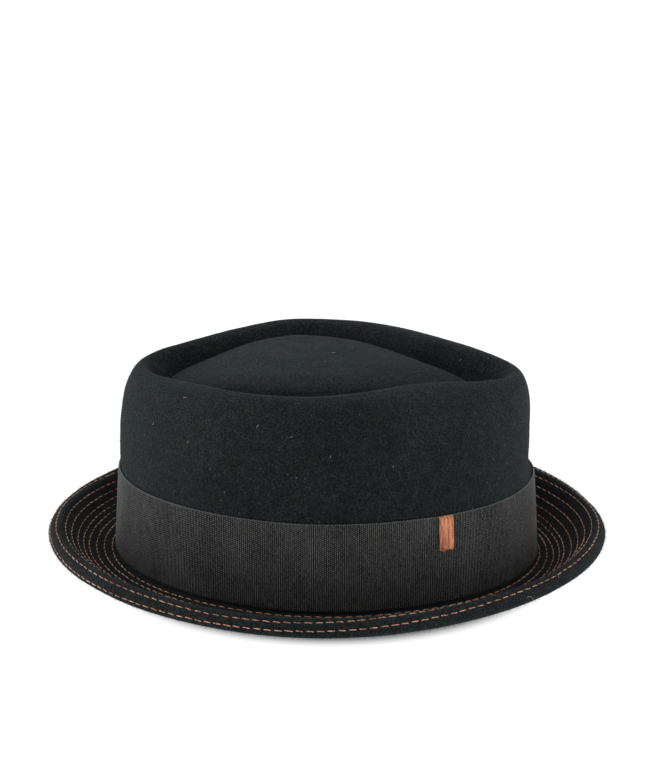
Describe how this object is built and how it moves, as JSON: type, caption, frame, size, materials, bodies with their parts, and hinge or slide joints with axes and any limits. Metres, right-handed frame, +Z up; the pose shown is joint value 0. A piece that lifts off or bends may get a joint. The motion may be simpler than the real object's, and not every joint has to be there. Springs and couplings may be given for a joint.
{
  "type": "porkpie hat",
  "caption": "Dark felt porkpie hat: telescoped crown with a rounded dome inside a ringed fold, wide lapped ribbon, short turned-up brim with rolled edge, and a small thread tack.",
  "frame": {"origin": "on the table the hat rests on, under the centre of the brim's outline", "axes": "+Z up through the crown, -Y towards the front of the hat, -X towards the wearer's right side"},
  "size_m": [0.242, 0.2698, 0.0983],
  "materials": {
    "felt": "matt pressed wool felt, dark charcoal with a faint blue-green cast",
    "grosgrain": "charcoal grosgrain with fine upright ribs and a low sheen",
    "thread": "peach copper embroidery thread with a soft satin sheen"
  },
  "bodies": {
    "root": {"felt_body": "felt", "ribbon": "grosgrain", "thread_tack": "thread"}
  },
  "joints": []
}
